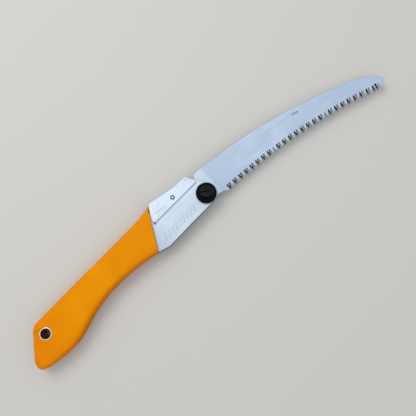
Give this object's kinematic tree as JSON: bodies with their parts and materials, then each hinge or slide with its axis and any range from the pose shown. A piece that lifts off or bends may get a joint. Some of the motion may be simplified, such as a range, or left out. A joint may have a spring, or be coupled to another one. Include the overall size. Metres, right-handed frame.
{
  "type": "folding pruning saw",
  "caption": "Folding pruning saw with a curved toothed blade, steel channel frame, thumb lock lever and rubber grip with a hang hole.",
  "frame": {"origin": "centre of the hang hole in the butt of the grip, in the mid-plane of the blade", "axes": "+X from the hang hole to the blade pivot and on towards the tip of the open blade, +Y towards the spine and the lock lever, +Z towards the side with the bolt cap; the saw lies flat with -Z down"},
  "size_m": [0.446, 0.068, 0.0194],
  "materials": {
    "blade_steel": "fine satin, ground along the blade",
    "frame_steel": "bright satin plating",
    "lever_steel": "bright satin plating",
    "hard_steel": "turned and ground",
    "spring_steel": "blued spring strip",
    "eyelet_metal": "polished plating",
    "washer_plastic": "plain acetal",
    "cap_plastic": "fine moulded grain",
    "liner_plastic": "moulded",
    "grip_rubber": "soft matt elastomer"
  },
  "bodies": {
    "handle": {"frame_channel": "frame_steel", "grip_liner": "liner_plastic", "grip_rubber": "grip_rubber", "lanyard_eyelet": "eyelet_metal", "eyelet_back_ring": "eyelet_metal", "tie_post_rear": "hard_steel", "tie_post_front": "hard_steel", "blade_stop": "hard_steel", "spring_pin": "hard_steel", "lever_spring": "spring_steel", "friction_washer_top": "washer_plastic", "friction_washer_back": "washer_plastic", "nut_washer": "hard_steel", "pivot_nut": "hard_steel", "lever_rivet": "frame_steel", "rivet_sleeve": "hard_steel"},
    "blade": {"saw_blade": "blade_steel", "blade_bushing": "hard_steel"},
    "bolt": {"pivot_bolt": "hard_steel", "bolt_cap": "cap_plastic"},
    "lever": {"lock_lever": "lever_steel", "lock_pawl": "hard_steel", "pawl_pin": "hard_steel"}
  },
  "joints": [
    {"name": "blade_fold", "type": "hinge", "parent": "handle", "child": "blade", "pos_m": [0.2008, 0, 0], "axis": [0, 0, 1], "range_deg": [-167.8, 18]},
    {"name": "lever_press", "type": "hinge", "parent": "handle", "child": "lever", "pos_m": [0.173, 0.0189, 0], "axis": [0, 0, 1], "range_deg": [-3.9, 4], "stiffness_Nm_per_rad": 2, "springref_deg": -8.59, "deforming": ["lever_spring"]},
    {"name": "bolt_turn", "type": "hinge", "parent": "handle", "child": "bolt", "pos_m": [0.2008, 0, 0], "axis": [0, 0, 1], "range_deg": [0, 90]}
  ]
}
